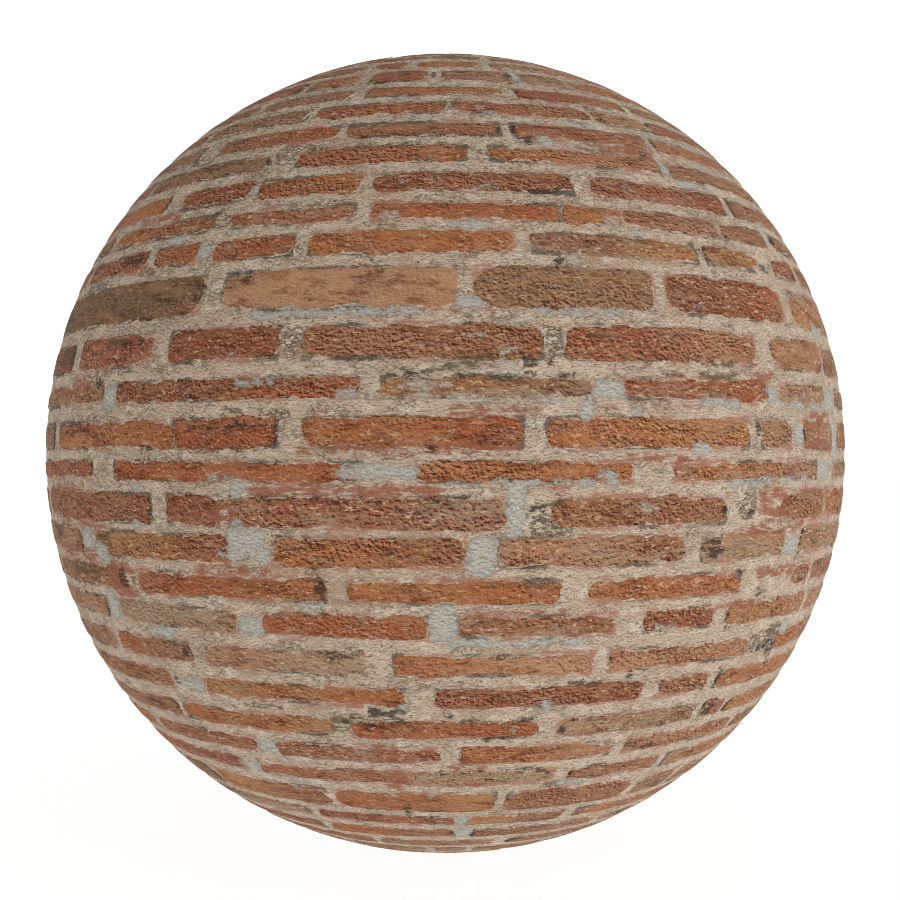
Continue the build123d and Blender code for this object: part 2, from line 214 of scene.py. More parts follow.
# Patches of the ball that carry each mark: left and right longitude, low and high latitude.
MARKS: dict[Mark, tuple[Patch, ...]] = {
    Mark.LIME: (
        (14.5, 16, 3.7, 5.8), (14, 15.5, 0, 0.8), (20, 22, 4, 4.9), (28.5, 31.2, -0.4, 1.1), (-24, -19, 7.3, 8.1),
        (-12, -9.4, 6, 6.9), (16.2, 19.9, 6, 8), (-23, -3, 15, 15.8), (10, 21, 15.1, 15.7), (1, 4.5, 15.6, 17.2),
        (0, 6, 25.6, 26.5), (24, 26, 25.5, 26.3), (-27, -23, -3.1, -2.5), (-24.2, -22.6, -5, -2.6),
        (-11.5, -3, -2.9, -1.1), (0, 19, -3.2, -2.75), (6.5, 8.6, -9, -2.8), (-24.5, -22.5, -8.3, -7.3),
        (-25, -20, -10, -8.2), (-25.5, -19.6, -11.9, -10), (-27, -25, -11.6, -10.4), (2.2, 5.3, -13.4, -8.9),
        (0.5, 17, -21.4, -20.6), (-25.4, -21.9, -20.6, -18.5), (-1.9, 1.2, -20.5, -16.3), (-6, -4.5, -30, -28.7),
        (-29, -25.8, -38.4, -36), (-25.4, -23.6, -39.3, -38.4), (1.8, 4.1, -53.1, -50.4), (2, 5.8, -58, -54.6),
        (14.8, 16.7, 52.2, 60), (-9, -7, 48, 49), (6.6, 9, 44.5, 45), (14, 16.5, 38.1, 40.2),
        (-45.4, -42.9, 5.2, 8.2), (-32.9, -30.7, 22.8, 24.9), (-40, -36.5, 25.5, 26.6), (41, 43.3, 5.9, 7.7),
        (44, 60, 5.5, 6.2), (57.2, 61.6, 5.3, 7.9), (46.4, 49, 1.1, 3.3), (59.2, 61.7, -1.4, 4.5),
        (53.2, 58, -3.2, -1), (34, 39, -3.9, -3.1), (39, 50, -3.2, -2.75), (46.1, 49.8, -12.2, -10.1),
        (52, 54.6, -23.2, -21.4), (52.6, 54.7, 27.6, 30.9), (-39.5, -37.7, -4.3, -3.3), (-39.6, -38.2, -8.6, -7.4),
        (-52.2, -49.5, -11.6, -9), (-49, -45.7, -13.3, -10.8), (-49.4, -46.8, -20.7, -16.4),
        (-41.5, -36, -22.2, -20.9), (-38.8, -33.8, -29.4, -27.6), (44.7, 47, 37.9, 39.6), (34.4, 35.7, 35.6, 38.6),
        (-9.8, -7.4, 61.4, 63.8), (-34.8, -31.8, -42.4, -40.4), (-26.5, -23.5, -43.8, -42.9),
        (37.3, 38.6, -42.6, -41.3), (18, 24, -43.6, -42.8), (36, 42, 43.1, 43.8), (18, 26, 43.2, 43.9),
        (36, 44, 34.2, 35), (3, 8, 31, 31.2), (12.2, 14.2, -30.4, -28.6), (57, 63, 15, 16.6), (30, 36, 5.2, 6.2),
        (16.6, 18.8, -2.6, -2), (0.2, 1.6, -34.9, -34.3),
    ),
    Mark.CREAM: (
        (-5, 0.5, 6.7, 7.8), (-5, 0, 5.8, 6.4), (0, 16, 5.5, 6.1), (5.6, 7.9, 8.1, 10.2), (5.5, 8, 13.7, 14.5),
        (6, 7.5, 10.5, 11.5), (14.6, 16, 20.7, 22.3), (48.7, 50.4, 6.7, 7.3), (5.2, 6.9, 45.6, 46.2),
        (-20.1, -18.9, 44.9, 46.1), (24.8, 26.4, 32, 32.9), (-5.9, -4.9, 31.9, 32.4), (-27.7, -26.4, 31.2, 33),
        (18, 20, 37, 37.3), (19, 24.4, 38.5, 39.4), (20.2, 22.8, 26.7, 27.9), (-8.4, -5.6, 27, 27.8),
        (-28.4, -27.6, 23.8, 24.2), (-25.3, -24.7, 10.6, 11), (30.6, 32.4, 16.7, 17.3), (-19.8, -18.7, -11.2, -9.8),
        (21.6, 24.4, -6.5, -5.4), (26, 29, -20.2, -19.7), (-17, -13.6, -17.8, -16.2), (-6.4, -5.6, 2.3, 2.6),
        (-1.6, -1, 32.6, 32.9), (-64, -59, -8, -7.6), (40.8, 41.8, -24, -23.6), (-12, -7.4, -45.2, -44.9),
        (-27.2, -25, -45.3, -44.8), (7.8, 9.6, -33, -32.6), (-8.2, -6.6, -33.7, -33.2), (-3.2, -1.6, -45.2, -44.3),
        (2, 4, 12.7, 13), (-39, -36, 8, 8.2), (-29, -26.5, -28.4, -27.8), (-17.9, -17.1, 35.8, 36.1),
        (-2.2, -1.6, 36, 36.4), (56, 57.2, 7.2, 7.9),
    ),
    Mark.SOOT: (
        (-30, -18.4, 2.6, 2.95), (-24, -22, 2.8, 3.4), (-19, -18.3, 1.5, 2.8), (-27, -19, 0.4, 0.7),
        (-6, 8, 7.95, 8.2), (8.2, 11.8, 9.3, 10.2), (8.2, 10.8, 8.1, 8.7), (12, 13.9, 8.4, 8.9),
        (13.1, 13.9, 20.9, 22), (8, 13, 29.15, 29.4), (8.8, 10.8, -6.9, -5.1), (-14.8, -13.5, -15.9, -13.7),
        (-17, -10, -22.9, -22.2), (23.1, 24.1, -26.9, -25.3), (15.6, 19.8, -26.9, -26.5), (-13, -3, -31.95, -31.6),
        (-10, -5.1, -31, -29.8), (-12.9, -10.2, -32, -30.8), (0, 1.2, -31.2, -30.3), (10.6, 13.5, 38.6, 40.1),
        (10.35, 10.9, 40.5, 42), (7.6, 8.4, 40.3, 41.4), (-13, 7, 39.9, 40.15), (-20.8, -17.8, 38.2, 38.45),
        (-13, 0, 38.25, 38.55), (-27.6, -26, 36.3, 37.4), (8.3, 16.6, 30.75, 31.05), (20.1, 20.6, 31.4, 33.2),
        (-14.9, -8.4, 56.9, 57.4), (-14.9, -7.5, 53.3, 53.65), (-3.2, -2.4, 54.1, 56.5), (13.6, 14.5, 53.1, 57),
        (27, 28.9, 45.1, 46.4), (-56, -48, 2.35, 2.7), (-39.8, -39, -28.3, -27.3), (-16.8, -15.2, 17.1, 17.9),
        (-24.8, -23.2, 19.4, 20.2), (-16.2, -15.7, 16.1, 16.4), (-12.7, -12.2, 24, 24.3), (-7.7, -7.2, 23, 23.3),
        (-8, -6.8, 20, 20.5), (-31.5, -30.6, 17.5, 20.3), (-47.5, -46.2, 7.9, 8.4), (46.6, 48.3, 22.6, 23.9),
        (57.2, 58.3, 23, 23.9), (40.8, 41.2, 27, 28.5), (38.6, 39.6, 2.2, 3.9), (37.6, 38.4, -7.3, -6.6),
        (33.2, 34, -7, -6), (31.2, 34, -11.9, -9), (41.8, 43, -17.2, -15.6), (43.7, 44.3, -24.6, -23.9),
        (46.6, 51.8, -24.8, -23.9), (49.5, 52, -26, -24.6), (37.3, 38.4, -21.4, -20.4), (-13.4, -5, -32.2, -31.9),
        (-5.4, -4, -35.9, -35.5), (0.2, 6, -40.1, -39.9), (8, 15, -39.95, -39.7), (15.2, 16.4, -41.6, -40.2),
        (20, 20.6, -42.4, -40.5), (10.5, 14, -40.3, -40.1), (44, 45, -47.5, -46.8), (0, 13, -31.5, -31.35),
        (0.5, 11, -34.4, -34.15), (40.3, 42.2, -33.6, -31.6), (46.2, 47, -33.7, -32.2), (15.7, 16.3, -33.6, -32.4),
        (17, 20, -32, -31.5), (-35.6, -34.6, -24.4, -22.7), (-57.6, -56.8, 10.6, 13.6), (-42.6, -38.6, 12.4, 13.3),
        (-49.6, -44.4, 23.4, 24.8), (-44.3, -43.5, -16, -13.8), (40, 41, 45.9, 46.9), (45.4, 46.4, 46.6, 47.3),
        (48.6, 49.6, 32.7, 33.6), (51.6, 53, 32.8, 33.4), (36.6, 37.8, 49.3, 50.5), (31.8, 33, 38.2, 39.6),
        (54.8, 56.6, 27.6, 29), (31, 33, -38, -37), (-37, -36.4, -42.8, -41.2), (-7.4, -6.4, -50, -46.2),
        (-30, 0, -5.05, -4.95), (-15, -13, -12.6, -12.1), (-2.4, -1.2, 0.3, 0.6), (28, 28.6, -36.9, -36),
        (6.4, 6.9, 36, 37.6),
    ),
    Mark.MOSS: (
        (0, 5.4, 9.1, 10), (-5, 0, 8.6, 9.1), (-15, 5, 10.05, 10.4), (20, 30, 10.2, 10.5), (24.6, 28, 8.5, 9),
        (10.6, 12.9, -5.7, -4.8), (16, 19, 12.3, 12.9), (-20, -15, 29.15, 29.45), (24, 28, -4.7, -4.35),
        (30, 40, 10, 10.4), (30, 36, 8.5, 9.1), (10, 11.4, -7, -6.5), (-66, -60, -11, -9), (-5, 5, 65, 67),
        (-15.6, -12.8, -33.6, -31), (-58, -50, -15.4, -14), (32.6, 36, 24.4, 24.9), (48, 52, -23, -21.6),
        (-22, -19, -22.4, -21.9), (1, 3.4, 37.6, 38.1), (-63, -57, 11, 13.4), (-48, -44.5, -11, -9.6),
        (-70, -64, 16, 19), (19, 27, 28.6, 28.9), (-47, -41, 12.9, 13.7), (-6.8, -4, -10.6, -10.2),
    ),
    Mark.BLUSH: (
        (-22, 0, -4.7, -3.1), (-14.2, -12.7, 3.9, 4.5), (0.4, 10, 4, 5), (16, 30, 4.95, 5.25), (8.6, 13.5, -4, -3.4),
        (-30, -20, -13.4, -12.4), (2, 14, -17.7, -17), (39.4, 45, -8, -3.7), (41, 50, -15, -13.5),
        (32, 42, -18.5, -17.5), (-46.6, -40.6, -17.4, -12.8), (-26.8, -23.6, -7.9, -5.1), (-62, -47, -13.4, -11.6),
        (39, 42.5, 8.3, 9.5), (-9, -6.2, -43.6, -40), (0, 6, -40, -38.3), (0, 6, -43.2, -42.4), (49, 59, 0.2, 1.3),
        (20, 34.4, 38.1, 40), (49.5, 58, 3.4, 5.1), (19, 23, 47.9, 49), (10.5, 14.5, 47.6, 48.6),
        (-15, -11, -41, -39.8), (-16, 8, 0.0, 0.9), (-10, -7, -36, -35.5), (2.2, 6, -38.9, -38), (20, 30, -1, -0.2),
        (38, 50, -9.4, -8.2), (-64, -50, -5, -3.8), (-60, -44, -9, -8.2), (16, 30, 49.4, 51.4), (44, 49, 10.2, 11),
        (-55, -50, 8.6, 9.6), (45, 62, -5, -4.2), (-50, -40, 29.4, 30.4), (13.5, 16, 33.2, 34),
    ),
    Mark.BUFF: (
        (-16, 0, -8.9, -8), (-20, -1, -13.3, -12.5), (16, 23, 20.6, 21.8), (-6.4, -4, 21.4, 21.9), (16, 33, 22, 22.8),
        (-13.1, -11.2, -17, -13.7), (19, 21, -13.4, -12.6), (4, 12, -22.3, -21.7), (-28.6, -22, -26, -25.2),
        (-30, -27, 26.5, 26.9), (-19, -15, -33.8, -31), (-19.4, -17.2, -17.9, -16.2), (-19, -15, 10.6, 11.2),
        (-5, 2, 53.8, 54.4), (9, 13, 53.6, 55.6), (18, 30, 53.6, 55.2), (-10, -4, 29.5, 30.1), (0, 8, -30.6, -29.9),
        (-20, -16, -30.4, -29.6), (12, 22, 35.1, 35.5), (17, 26, 39.4, 40.2), (-22, -18.5, 54.4, 55.6),
        (-33.4, -31.6, -24.6, -22.6),
    ),
    Mark.SCRAWL: (
        (-26.4, -19.6, 36, 40), (-18.4, -15.9, 10.2, 14), (11, 13, 10.2, 14), (-25.6, -22.6, 3.6, 5),
        (-20.6, -17, 3.4, 4.8), (9, 14, -8.8, -7), (-44, -40, 21.6, 23), (-52, -46, 8, 9.6), (-33, -29, 27, 30),
        (26.5, 29, 47, 49), (44, 52, -25, -22), (16, 20, -44.6, -42.6), (-48, -44, 9.4, 10), (-50, -46, 3, 4.6),
        (4.6, 6, 35.8, 37.4), (36, 39, -7.6, -4.4), (-46, -40, 38.6, 40.4), (-30, -26, 0, 0.9),
        (-28, -22, -30.8, -30), (-43, -40, 9.2, 10), (24, 28, 53, 57), (21, 25, 43.6, 44.4), (-60, -50, 20.6, 22),
    ),
}


def linear(red: int, green: int, blue: int) -> tuple[float, float, float, float]:
    """Turns a screen colour into the linear colour that a shader takes.

    Args:
        red: Red channel, 0 to 255.
        green: Green channel.
        blue: Blue channel.

    Returns:
        Linear red, green and blue, and an alpha of 1.
    """
    channels = [c / 255 for c in (red, green, blue)]
    light = [c / 12.92 if c <= 0.04045 else ((c + 0.055) / 1.055) ** 2.4 for c in channels]
    return (light[0], light[1], light[2], 1.0)


def drift(points: np.ndarray, size: float, seed: float) -> np.ndarray:
    """Smooth unevenness in space.

    Args:
        points: Rows of three coordinates.
        size: Width of one swell.
        seed: Which unevenness.

    Returns:
        One value for each row, from -1 to 1.
    """
    place = points / size + seed * 17.31
    cell = np.floor(place).astype(np.int64)
    part = place - cell
    part = part * part * (3 - 2 * part)
    total = np.zeros(len(points))
    for corner in range(8):
        step = np.array([corner & 1, corner >> 1 & 1, corner >> 2 & 1])
        near = cell + step
        key = (near[:, 0] * 73856093) ^ (near[:, 1] * 19349663) ^ (near[:, 2] * 83492791)
        key = ((key ^ (key >> 13)) * 1274126177) & 0x7FFFFFFF
        key = ((key ^ (key >> 15)) * 1103515245) & 0x7FFFFFFF
        weight = np.prod(np.where(step, part, 1 - part), axis=1)
        total += (key / 0x7FFFFFFF * 2 - 1) * weight
    return total


def swells(points: np.ndarray, parts: tuple[Triple, ...]) -> np.ndarray:
    """Several drifts added up, each given as its height, size and seed."""
    return sum(height * drift(points, size, seed) for height, size, seed in parts)


def wander(along: np.ndarray, size: float, seed: float) -> np.ndarray:
    """Smooth unevenness along a line, from -1 to 1."""
    return drift(np.stack([along, np.full_like(along, seed * 3.7), np.full_like(along, seed)], 1), size, 0.37)


def ease(value: np.ndarray) -> np.ndarray:
    """A smooth step from 0 to 1 as the value goes from 0 to 1."""
    held = np.clip(value, 0, 1)
    return held * held * (3 - 2 * held)


def crowded(value: np.ndarray, power: float) -> np.ndarray:
    """Values from -1 to 1, crowded towards both ends."""
    return np.sign(value) * (1 - (1 - np.abs(value)) ** power)


def on_ball(lon: np.ndarray, lat: np.ndarray, radius: np.ndarray) -> np.ndarray:
    """Points of the ball, with longitude 0 in front and 90 on the right.

    Args:
        lon: Longitudes.
        lat: Latitudes.
        radius: Distances from the middle of the ball.

    Returns:
        Rows of x, y and z in metres.
    """
    a, b = np.radians(lon), np.radians(lat)
    x = radius * np.cos(b) * np.sin(a)
    y = -radius * np.cos(b) * np.cos(a)
    z = CENTRE_HEIGHT + radius * np.sin(b)
    return np.stack([x, y, z], 1) * MM


def off_patch(lon: np.ndarray, lat: np.ndarray, patch: Patch, rounding: float) -> np.ndarray:
    """Distance from a patch of the ball.

    Args:
        lon: Longitudes.
        lat: Latitudes.
        patch: Left and right longitude, low and high latitude.
        rounding: How round its corners are, from 0 to 1.

    Returns:
        Distances, negative inside the patch.
    """
    left, right, low, high = patch
    across = MM_PER_DEGREE * math.cos(math.radians((low + high) / 2))
    away = (lon - (left + right) / 2 + 180) % 360 - 180
    half_u = (right - left) / 2 * across
    half_v = (high - low) / 2 * MM_PER_DEGREE
    round_by = min(half_u, half_v) * rounding
    q_u = np.abs(away) * across - half_u + round_by
    q_v = np.abs(lat - (low + high) / 2) * MM_PER_DEGREE - half_v + round_by
    outside = np.hypot(np.maximum(q_u, 0), np.maximum(q_v, 0))
    return outside + np.minimum(np.maximum(q_u, q_v), 0) - round_by


def nearest(
    lon: np.ndarray, lat: np.ndarray, patches: Iterable[Patch], most: float, margin: float, rounding: float
) -> np.ndarray:
    """Distance from the nearest of some patches.

    Args:
        lon: Longitudes.
        lat: Latitudes.
        patches: The patches.
        most: The most that a distance may be.
        margin: Degrees of latitude past which a patch isn't measured.
        rounding: How round their corners are, from 0 to 1.

    Returns:
        Distances, negative inside a patch.
    """
    least = np.full(len(lon), most)
    for patch in patches:
        near = np.nonzero((lat > patch[2] - margin) & (lat < patch[3] + margin))[0]
        if len(near):
            least[near] = np.minimum(least[near], off_patch(lon[near], lat[near], patch, rounding))
    return least


def mark_distances(lon: np.ndarray, lat: np.ndarray) -> dict[str, np.ndarray]:
    """Distance from the nearest mark of each kind, under the kind's name."""
    return {kind.value: nearest(lon, lat, patches, CLEAR_OF_MARKS, 3.0, 0.85) for kind, patches in MARKS.items()}


def keep(mesh: bpy.types.Mesh, kept: dict[str, object]) -> None:
    """Keeps values on a mesh for its finish to read.

    Args:
        mesh: The mesh.
        kept: Under each name a number, three numbers or a colour, for every vertex or one for all of them.
    """
    count = len(mesh.vertices)
    for name, given in kept.items():
        values = np.asarray(given, np.float32)
        width = 1 if values.shape in ((), (count,)) else values.shape[-1]
        kind, field = {1: ("FLOAT", "value"), 3: ("FLOAT_VECTOR", "vector"), 4: ("FLOAT_COLOR", "color")}[width]
        flat = np.broadcast_to(values, (count, width) if width > 1 else (count,)).ravel()
        mesh.attributes.new(name, kind, "POINT").data.foreach_set(field, flat)


def choose(*things: bpy.types.Object) -> None:
    """Selects these objects and nothing else, the first of them active."""
    bpy.ops.object.select_all(action="DESELECT")
    for thing in things:
        thing.select_set(True)
    if things:
        bpy.context.view_layer.objects.active = things[0]


@contextmanager
def editing(thing: bpy.types.Object) -> Iterator[None]:
    """Edit mode on one object, with all of it selected.

    Args:
        thing: The object.

    Yields:
        Nothing.
    """
    choose(thing)
    bpy.ops.object.mode_set(mode="EDIT")
    bpy.ops.mesh.select_all(action="SELECT")
    yield
    bpy.ops.object.mode_set(mode="OBJECT")


def slab(name: str, columns: int, rows: int) -> bpy.types.Object:
    """Models a closed slab whose face is a grid from -1 to 1 at height 0 and whose back is at height -1.

    Args:
        name: Name of the object.
        columns: Faces along x.
        rows: Faces along y.

    Returns:
        The slab.
    """
    choose()
    bpy.ops.mesh.primitive_grid_add(x_subdivisions=columns, y_subdivisions=rows, size=2)
    made = bpy.context.object
    made.name = name
    with editing(made):
        bpy.ops.mesh.region_to_loop()
        bpy.ops.mesh.extrude_region_move(TRANSFORM_OT_translate={"value": (0, 0, -1)})
        bpy.ops.mesh.edge_face_add()
        bpy.ops.mesh.select_all(action="SELECT")
        bpy.ops.mesh.normals_make_consistent(inside=False)
    return made


def corners_of(mesh: bpy.types.Mesh) -> np.ndarray:
    """Reads the vertices of a mesh.

    Args:
        mesh: The mesh.

    Returns:
        Rows of x, y and z.
    """
    flat = np.zeros(len(mesh.vertices) * 3, np.float32)
    mesh.vertices.foreach_get("co", flat)
    return flat.reshape(-1, 3).astype(float)


def place_corners(mesh: bpy.types.Mesh, points: np.ndarray) -> None:
    """Moves the vertices of a mesh to rows of x, y and z."""
    mesh.vertices.foreach_set("co", points.astype(np.float32).ravel())
    mesh.update()


def joined(parts: list[bpy.types.Object], name: str) -> bpy.types.Object:
    """Joins parts into one piece, smooth-shaded.

    Args:
        parts: The parts.
        name: Name of the piece.

    Returns:
        The piece.
    """
    choose(*parts)
    if len(parts) > 1:
        bpy.ops.object.join()
    piece = bpy.context.view_layer.objects.active
    piece.name = name
    piece.data.name = name
    bpy.ops.object.shade_smooth_by_angle(angle=math.radians(50))
    return piece


def dress(piece: bpy.types.Object, finish: bpy.types.Material) -> None:
    """Gives a piece its one finish and lets it ride on the frame."""
    piece.data.materials.clear()
    piece.data.materials.append(finish)
    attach(piece, "root")


def report(piece: bpy.types.Object) -> None:
    """Logs a piece and its triangle count."""
    piece.data.calc_loop_triangles()
    log.info("%s: %d triangles", piece.name, len(piece.data.loop_triangles))


class Wiring:
    """Wires the nodes of one material, or of the sky."""

    def __init__(self, owner: bpy.types.Material | bpy.types.World) -> None:
        """Starts with no nodes.

        Args:
            owner: The material or the sky.
        """
        owner.use_nodes = True
        self.owner = owner
        self.tree = owner.node_tree
        self.tree.nodes.clear()

    def feed(self, source: object, socket: Socket) -> None:
        """Links a socket, or sets a plain value on it.

        Args:
            source: Another socket, or the value.
            socket: The socket.
        """
        if isinstance(source, Socket):
            self.tree.links.new(source, socket)
        else:
            socket.default_value = source

    def node(self, kind: str, feeds: dict[int | str, object] | None = None, **settings: object) -> bpy.types.Node:
        """Adds a node.

        Args:
            kind: Its type.
            feeds: What feeds its sockets, by their names or numbers.
            settings: Its other settings.

        Returns:
            The node.
        """
        made = self.tree.nodes.new(kind)
        for key, value in settings.items():
            setattr(made, key, value)
        for key, source in (feeds or {}).items():
            self.feed(source, made.inputs[key])
        return made

    def place(self) -> Socket:
        """Object coordinates."""
        return self.node("ShaderNodeTexCoord").outputs["Object"]

    def kept(self, name: str, output: str = "Fac") -> Socket:
        """What the mesh keeps under a name, as Fac, Vector or Color."""
        return self.node("ShaderNodeAttribute", attribute_name=name).outputs[output]

    def parts(self, vector: Socket) -> tuple[Socket, Socket, Socket]:
        """The three parts of a vector."""
        return tuple(self.node("ShaderNodeSeparateXYZ", {0: vector}).outputs)

    def math(self, operation: str, first: object, second: object = 0.0) -> Socket:
        """One sum of two values."""
        return self.node("ShaderNodeMath", {0: first, 1: second}, operation=operation).outputs[0]

    def times(self, first: object, second: object) -> Socket:
        """The first value times the second."""
        return self.math("MULTIPLY", first, second)

    def plus(self, first: object, second: object) -> Socket:
        """The two values added."""
        return self.math("ADD", first, second)

    def minus(self, first: object, second: object) -> Socket:
        """The first value less the second."""
        return self.math("SUBTRACT", first, second)

    def larger(self, first: object, second: object) -> Socket:
        """The larger of two values."""
        return self.math("MAXIMUM", first, second)

    def off(self, value: object, middle: float) -> Socket:
        """How far a value is from a middle one."""
        return self.math("ABSOLUTE", self.minus(value, middle))

    def stretch(self, vector: object, by: Triple) -> Socket:
        """A vector times three factors."""
        return self.node("ShaderNodeVectorMath", {0: vector, 1: by}, operation="MULTIPLY").outputs[0]

    def moved(self, vector: object, by: Triple) -> Socket:
        """A vector plus three amounts."""
        return self.node("ShaderNodeVectorMath", {0: vector, 1: by}, operation="ADD").outputs[0]

    def flattened(self, by: float) -> Socket:
        """Object coordinates that flatten a pattern by a factor."""
        return self.stretch(self.place(), (1.0, 1.0, by))

    def noise(self, vector: object, scale: float, detail: float = 3.0, rough: float = 0.6) -> Socket:
        """Noise about 0.5."""
        feeds = {"Vector": vector, "Scale": scale, "Detail": detail, "Roughness": rough}
        return self.node("ShaderNodeTexNoise", feeds).outputs["Fac"]

    def between(self, value: object, at_low: float, at_high: float, high: float = 1.0, low: object = 0.0) -> Socket:
        """Low where the value is at_low, high where it is at_high, held beyond."""
        feeds = {"Value": value, "From Min": at_low, "From Max": at_high, "To Min": low, "To Max": high}
        return self.node("ShaderNodeMapRange", feeds).outputs[0]

    def over(self, under: object, tint: object, share: object, blend: str = "MIX") -> Socket:
        """Lays one colour over another by a share. Plain colours are screen colours."""
        first, second = (linear(*colour) if isinstance(colour, tuple) else colour for colour in (under, tint))
        made = self.node("ShaderNodeMix", {}, data_type="RGBA", blend_type=blend)
        for number, source in ((0, share), (6, first), (7, second)):
            self.feed(source, made.inputs[number])
        return made.outputs[2]

    def leaning(self, value: object, leftward: float, upward: float) -> Socket:
        """A value that grows to the left and upwards.

        Args:
            value: The value in the middle of the ball.
            leftward: Growth in a metre to the left.
            upward: Growth in a metre upwards.

        Returns:
            The grown value.
        """
        x, _, z = self.parts(self.place())
        left = self.times(x, -leftward)
        up = self.times(self.minus(z, CENTRE_HEIGHT * MM), upward)
        return self.plus(value, self.plus(left, up))

    def lips(self, vector: object, scale: float, up: Triple) -> tuple[Socket, Socket]:
        """Painted light on a scaly relief: where its lips face up, for a painted highlight, and where they face down,
        for a painted shade.

        Args:
            vector: Place.
            scale: Lumps a metre.
            up: A short step upwards in that place.

        Returns:
            Share of painted highlight on the upper lips and share of painted shade in the hollows under them, 0 to 1.
        """
        here = self.noise(vector, scale, 4.0, 0.66)
        above = self.noise(self.moved(vector, up), scale, 4.0, 0.66)
        fall = self.minus(here, above)
        return self.between(fall, 0.02, 0.085), self.between(fall, -0.03, -0.085)

    def streaks(self) -> Socket:
        """Level streaks, the same in every finish."""
        return self.noise(self.stretch(self.place(), (0.35, 0.35, 1.4)), 110.0, 4.0, 0.68)

    def rag(self) -> Socket:
        """How far a brick's edge strays, the same for the brick and its joint."""
        return self.times(self.minus(self.noise(self.flattened(1.4), 110.0, 5.0, 0.7), 0.5), 13.0)

    def seen(self) -> Socket:
        """1 for what is looked at, straight or by gloss or glass, and 0 for light."""
        path = self.node("ShaderNodeLightPath").outputs
        return self.larger(self.larger(path["Is Camera Ray"], path["Is Glossy Ray"]), path["Is Transmission Ray"])

    def finish(self, colour: object, height: object, depth: float, rough: float = 0.92) -> bpy.types.Material:
        """Ends in a matt surface.

        Args:
            colour: Base colour.
            height: Relief, 0 to 1.
            depth: Depth of that relief in metres.
            rough: Roughness.

        Returns:
            The material.
        """
        bump = self.node("ShaderNodeBump", {"Strength": 0.85, "Distance": depth, "Height": height})
        surface = self.node("ShaderNodeBsdfPrincipled", {"Base Color": colour, "Normal": bump.outputs[0]})
        surface.inputs["Roughness"].default_value = rough
        surface.inputs["Specular IOR Level"].default_value = 0.25
        self.node("ShaderNodeOutputMaterial", {0: surface.outputs[0]})
        return self.owner


@dataclass(frozen=True)
class LimeMortar:
    """Old lime mortar: warm beige with dark grit, pale bloomed patches and hairlines, and a painted highlight and
    painted shade on its lumps.
    """

    middle: Screen = (194, 172, 148)
    shade: Screen = (177, 153, 129)
    # Pale bloomed patches of the lime, and also the painted highlight on the lumps' upper lips.
    bloom_and_highlight: Screen = (222, 208, 190)
    grit: Screen = (84, 66, 50)
    # Painted shade in the hollows under the lumps' lips.
    hollow_shade: Screen = (112, 90, 70)
    hairline: Screen = (78, 62, 48)

    def paint(self, wires: Wiring) -> Socket:
        """Paints the mortar.

        Args:
            wires: The material's wiring.

        Returns:
            Its colour before its stains.
        """
        place = wires.flattened(1.7)
        clouds = wires.noise(place, 9.0, 4.0, 0.6)
        blots = wires.noise(place, 52.0, 3.0, 0.6)
        grains = wires.noise(place, 210.0, 3.0, 0.72)
        lit, shaded = wires.lips(wires.moved(place, (6.0, 2.0, 1.0)), 190.0, (0.0, 0.0, 0.0022))
        colour = wires.over(self.shade, self.middle, wires.between(clouds, 0.36, 0.62))
        colour = wires.over(colour, self.bloom_and_highlight, wires.between(blots, 0.5, 0.66, 0.7))
        # Painted highlight on the lumps' upper lips and painted shade in the hollows under them, as if lit from
        # above.
        colour = wires.over(colour, self.bloom_and_highlight, wires.times(lit, 0.5))
        colour = wires.over(colour, self.hollow_shade, wires.times(shaded, 0.42))
        colour = wires.over(colour, self.grit, wires.between(grains, 0.415, 0.355, 0.9))
        return wires.over(colour, self.bloom_and_highlight, wires.between(grains, 0.62, 0.7, 0.6))

    def hairlines(self, wires: Wiring, colour: object) -> Socket:
        """Adds dark hairlines, thick in the scrawled places.

        Args:
            wires: The material's wiring.
            colour: The mortar's colour.

        Returns:
            The colour with its hairlines.
        """
        place = wires.flattened(2.0)
        off = wires.off(wires.noise(wires.moved(place, (3.1, 1.7, 5.2)), 62.0, 4.0, 0.65), 0.5)
        where = wires.leaning(wires.noise(wires.moved(place, (9.0, 4.0, 2.0)), 20.0, 3.0, 0.6), 0.09, 0.12)
        thin = wires.times(wires.between(off, 0.045, 0.015), wires.between(where, 0.5, 0.58, 0.8))
        scrawl = wires.between(wires.kept(Mark.SCRAWL.value), 2.0, -1.0)
        thick = wires.times(wires.between(off, 0.08, 0.03), scrawl)
        return wires.over(colour, self.hairline, wires.times(wires.larger(thin, thick), 0.75))


